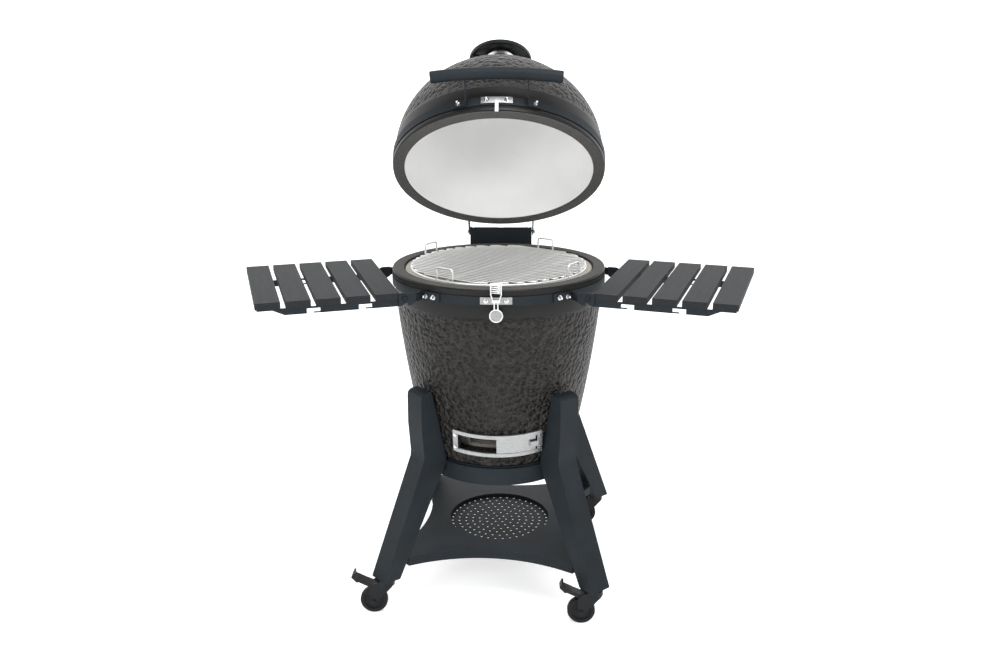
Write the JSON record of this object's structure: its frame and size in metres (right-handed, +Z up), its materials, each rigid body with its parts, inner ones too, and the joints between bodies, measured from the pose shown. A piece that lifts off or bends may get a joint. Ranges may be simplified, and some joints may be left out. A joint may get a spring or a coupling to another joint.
{
  "type": "kamado ceramic grill",
  "caption": "Freestanding kamado grill: dimpled ceramic bowl and hinged dome lid on a steel cart with casters, fold-down side shelves, a top vent and a sliding draft door.",
  "frame": {"origin": "on the floor under the axis of the bowl", "axes": "+Z up, -Y towards the cook at the front, +X to the right seen from the front"},
  "size_m": [1.417, 0.7596, 1.5139],
  "materials": {
    "ceramic": "dimpled matte glaze",
    "felt": "felt",
    "slate_steel": "satin powder coat",
    "stainless": "brushed",
    "chrome": "polished",
    "black_steel": "satin",
    "firebrick": "matte",
    "cast_iron": "matte",
    "black_plastic": "matte",
    "wheel_rubber": "matte",
    "composite_board": "brushed matte"
  },
  "bodies": {
    "grill": {"ceramic_base": "ceramic", "base_gasket": "felt", "base_band": "slate_steel", "latch_plate": "stainless", "base_band_bolts": "stainless", "left_shelf_brackets": "slate_steel", "right_shelf_brackets": "slate_steel", "bracket_bolts": "stainless", "shelf_pivot_bolts": "black_steel", "hinge_base_frame": "slate_steel", "hinge_pin": "stainless", "hinge_springs": "chrome", "fire_bowl": "firebrick", "fire_ring": "firebrick", "charcoal_grate": "cast_iron", "draft_frame": "stainless", "draft_screws": "stainless", "front_left_leg": "slate_steel", "front_right_leg": "slate_steel", "rear_left_leg": "slate_steel", "rear_right_leg": "slate_steel", "cart_ring": "slate_steel", "cart_shelf": "slate_steel", "cart_shelf_grille": "slate_steel", "caster_stems": "stainless"},
    "lid": {"ceramic_lid": "ceramic", "lid_gasket": "felt", "lid_band": "slate_steel", "lid_catch": "stainless", "lid_band_bolts": "stainless", "handle_bar": "slate_steel", "handle_end_caps": "black_plastic", "handle_arms": "slate_steel", "hinge_lid_frame": "slate_steel", "vent_stack": "chrome"},
    "vent_thread": {"vent_nut": "chrome"},
    "vent_top": {"vent_cap": "cast_iron"},
    "draft_door": {"draft_slider": "stainless"},
    "draft_door_inner": {"draft_slider_inner": "stainless"},
    "latch": {"latch_lever": "stainless", "latch_disc": "stainless"},
    "latch_wire": {"latch_bail": "stainless", "latch_spring": "stainless"},
    "left_shelf": {"left_shelf_rails": "slate_steel", "left_shelf_boards": "composite_board"},
    "right_shelf": {"right_shelf_rails": "slate_steel", "right_shelf_boards": "composite_board"},
    "grate": {"cooking_grate": "stainless", "grate_loops": "stainless"},
    "front_left_caster": {"front_left_fork": "black_steel"},
    "front_left_roller": {"front_left_wheel": "wheel_rubber"},
    "front_left_brake": {"front_left_pedal": "black_plastic"},
    "front_right_caster": {"front_right_fork": "black_steel"},
    "front_right_roller": {"front_right_wheel": "wheel_rubber"},
    "front_right_brake": {"front_right_pedal": "black_plastic"},
    "rear_left_caster": {"rear_left_fork": "black_steel"},
    "rear_left_roller": {"rear_left_wheel": "wheel_rubber"},
    "rear_right_caster": {"rear_right_fork": "black_steel"},
    "rear_right_roller": {"rear_right_wheel": "wheel_rubber"}
  },
  "joints": [
    {"name": "lid_hinge", "type": "hinge", "parent": "grill", "child": "lid", "pos_m": [0, 0.373, 0.944], "axis": [-1, 0, 0], "range_deg": [-38.6, 6.4]},
    {"name": "vent_turn", "type": "hinge", "parent": "vent_thread", "child": "vent_top", "pos_m": [0, 0.30484, 1.45649], "axis": [0, 0.6239, 0.7815], "range_deg": [-90, 720]},
    {"name": "vent_rise", "type": "slide", "parent": "lid", "child": "vent_thread", "axis": [0, 0.6239, 0.7815], "range_m": [-0.003, 0.024]},
    {"name": "draft_slide", "type": "hinge", "parent": "grill", "child": "draft_door", "pos_m": [0, 0, 0.52861], "axis": [0, -0.2079, 0.9781], "range_deg": [-25, 0]},
    {"name": "draft_inner_slide", "type": "hinge", "parent": "grill", "child": "draft_door_inner", "pos_m": [0, 0, 0.52861], "axis": [0, -0.2079, 0.9781], "range_deg": [-26, 0]},
    {"name": "latch_swing", "type": "hinge", "parent": "grill", "child": "latch", "pos_m": [0, -0.2992, 0.893], "axis": [-1, 0, 0], "range_deg": [0, 95]},
    {"name": "latch_wire_swing", "type": "hinge", "parent": "grill", "child": "latch_wire", "pos_m": [0, -0.2992, 0.893], "axis": [1, 0, 0], "range_deg": [0, 60]},
    {"name": "right_shelf_fold", "type": "hinge", "parent": "grill", "child": "right_shelf", "pos_m": [0.231, -0.253, 0.8915], "axis": [0.309, 0.9511, 0], "range_deg": [0, 90]},
    {"name": "left_shelf_fold", "type": "hinge", "parent": "grill", "child": "left_shelf", "pos_m": [-0.231, -0.253, 0.8915], "axis": [0.309, -0.9511, 0], "range_deg": [0, 90]},
    {"name": "grate_lift", "type": "slide", "parent": "grill", "child": "grate", "axis": [0, 0, 1], "range_m": [0, 0.06]},
    {"name": "front_left_swivel", "type": "hinge", "parent": "grill", "child": "front_left_caster", "pos_m": [-0.30447, -0.26096, 0.104], "axis": [0, 0, 1], "continuous": true},
    {"name": "front_left_roll", "type": "hinge", "parent": "front_left_caster", "child": "front_left_roller", "pos_m": [-0.33947, -0.26096, 0.0375], "axis": [0, 1, 0], "continuous": true},
    {"name": "front_left_brake_press", "type": "hinge", "parent": "front_left_caster", "child": "front_left_brake", "pos_m": [-0.33547, -0.26096, 0.084], "axis": [0, -1, 0], "range_deg": [0, 10]},
    {"name": "front_right_swivel", "type": "hinge", "parent": "grill", "child": "front_right_caster", "pos_m": [0.26096, -0.30447, 0.104], "axis": [0, 0, 1], "continuous": true},
    {"name": "front_right_roll", "type": "hinge", "parent": "front_right_caster", "child": "front_right_roller", "pos_m": [0.22596, -0.30447, 0.0375], "axis": [0, 1, 0], "continuous": true},
    {"name": "front_right_brake_press", "type": "hinge", "parent": "front_right_caster", "child": "front_right_brake", "pos_m": [0.22996, -0.30447, 0.084], "axis": [0, -1, 0], "range_deg": [0, 10]},
    {"name": "rear_left_swivel", "type": "hinge", "parent": "grill", "child": "rear_left_caster", "pos_m": [-0.26096, 0.30447, 0.104], "axis": [0, 0, 1], "continuous": true},
    {"name": "rear_left_roll", "type": "hinge", "parent": "rear_left_caster", "child": "rear_left_roller", "pos_m": [-0.29596, 0.30447, 0.0375], "axis": [0, 1, 0], "continuous": true},
    {"name": "rear_right_swivel", "type": "hinge", "parent": "grill", "child": "rear_right_caster", "pos_m": [0.30447, 0.26096, 0.104], "axis": [0, 0, 1], "continuous": true},
    {"name": "rear_right_roll", "type": "hinge", "parent": "rear_right_caster", "child": "rear_right_roller", "pos_m": [0.26947, 0.26096, 0.0375], "axis": [0, 1, 0], "continuous": true}
  ],
  "couplings": [
    {"joint": "vent_rise", "follows": "vent_turn", "m_per_rad": 0.0019099}
  ]
}
